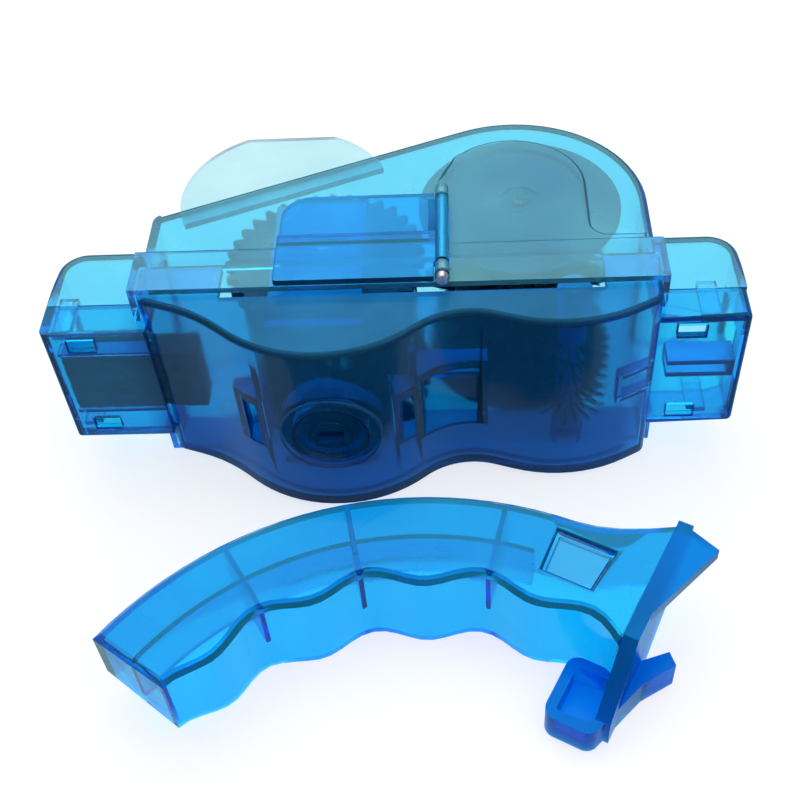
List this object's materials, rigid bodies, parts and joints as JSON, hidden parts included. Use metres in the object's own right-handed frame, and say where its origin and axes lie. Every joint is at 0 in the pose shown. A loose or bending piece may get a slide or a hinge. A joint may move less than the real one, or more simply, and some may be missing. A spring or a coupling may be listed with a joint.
{
  "type": "chain cleaning brush",
  "caption": "Clip-on cleaner for a bicycle chain: see-through tank and lid with a toothed wheel, spinning brushes and sponges, and a curved grip.",
  "frame": {"origin": "on the rear face that the housing lies on, at the height of the ports' floor, near the middle of the housing", "axes": "+X along the chain from the sponge port to the guide port, +Y from the tank to the lid, +Z out of the face that lies on the surface"},
  "size_m": [0.165, 0.1471, 0.0601],
  "materials": {
    "tank_plastic": "see-through deep blue, moulded, glossy",
    "lid_plastic": "see-through light blue, moulded, glossy",
    "latch_plastic": "see-through light blue, moulded, glossy",
    "clear_plastic": "nearly clear sheet with a blue tint",
    "handle_plastic": "see-through blue, moulded, glossy",
    "bracket_plastic": "see-through deep blue, moulded, glossy",
    "tongue_plastic": "see-through light blue, moulded",
    "guide_plastic": "see-through blue",
    "plug_plastic": "see-through dark blue",
    "hub_plastic": "dark blue moulded plastic",
    "wheel_plastic": "near-black blue moulded plastic",
    "bristle": "stiff dark nylon strands",
    "sponge": "open-cell dark foam",
    "steel": "drawn steel pin",
    "magnet": "nickel plated disc",
    "seal_rubber": "black rubber ring"
  },
  "bodies": {
    "tank": {"tank": "tank_plastic", "lower_sponge": "sponge", "outlet_guide": "guide_plastic", "front_brush_pin": "steel", "rear_brush_pin": "steel", "lower_brush_axle": "steel"},
    "lid": {"lid": "lid_plastic", "splash_guard": "clear_plastic", "upper_wheel_axle": "steel", "latch_pin": "steel"},
    "latch": {"latch": "latch_plastic"},
    "plug": {"magnet_plug": "plug_plastic", "magnet": "magnet", "plug_seal": "seal_rubber"},
    "front_brush": {"front_brush_disc": "wheel_plastic", "front_bristles": "bristle"},
    "rear_brush": {"rear_brush_disc": "wheel_plastic", "rear_bristles": "bristle"},
    "upper_brush_wheel": {"upper_wheel": "wheel_plastic", "upper_bristles_front": "bristle", "upper_bristles_rear": "bristle"},
    "lower_brush": {"lower_brush_hub": "hub_plastic", "lower_bristles": "bristle"},
    "handle": {"handle_grip": "handle_plastic", "handle_bracket": "bracket_plastic"},
    "tongue": {"release_tongue": "tongue_plastic"}
  },
  "joints": [
    {"name": "lid_lift", "type": "slide", "parent": "tank", "child": "lid", "axis": [0, 1, 0], "range_m": [0, 0.075]},
    {"name": "latch_swing", "type": "hinge", "parent": "lid", "child": "latch", "pos_m": [0.0123, 0.019, 0.0585], "axis": [0, 1, 0], "range_deg": [0, 120]},
    {"name": "plug_turn", "type": "hinge", "parent": "tank", "child": "plug", "pos_m": [-0.0145, -0.0176, 0.0283], "axis": [0, 1, 0], "range_deg": [0, 90]},
    {"name": "front_brush_spin", "type": "hinge", "parent": "tank", "child": "front_brush", "pos_m": [-0.016, 0.0205, 0.0479], "axis": [0, 0, 1], "continuous": true},
    {"name": "rear_brush_spin", "type": "hinge", "parent": "tank", "child": "rear_brush", "pos_m": [-0.016, 0.0205, 0.0087], "axis": [0, 0, 1], "continuous": true},
    {"name": "upper_wheel_spin", "type": "hinge", "parent": "lid", "child": "upper_brush_wheel", "pos_m": [0.031, 0.0348, 0.0283], "axis": [0, 0, 1], "continuous": true},
    {"name": "lower_brush_spin", "type": "hinge", "parent": "tank", "child": "lower_brush", "pos_m": [0.042, 0.003, 0.0283], "axis": [0, 0, 1], "continuous": true},
    {"name": "handle_pull", "type": "slide", "parent": "tank", "child": "handle", "axis": [0, -1, 0], "range_m": [0, 0.06]},
    {"name": "tongue_press", "type": "hinge", "parent": "handle", "child": "tongue", "pos_m": [0.0344, -0.0468, 0.0216], "axis": [0.3841, 0.9233, 0], "range_deg": [0, 7], "stiffness_Nm_per_rad": 0.3}
  ]
}
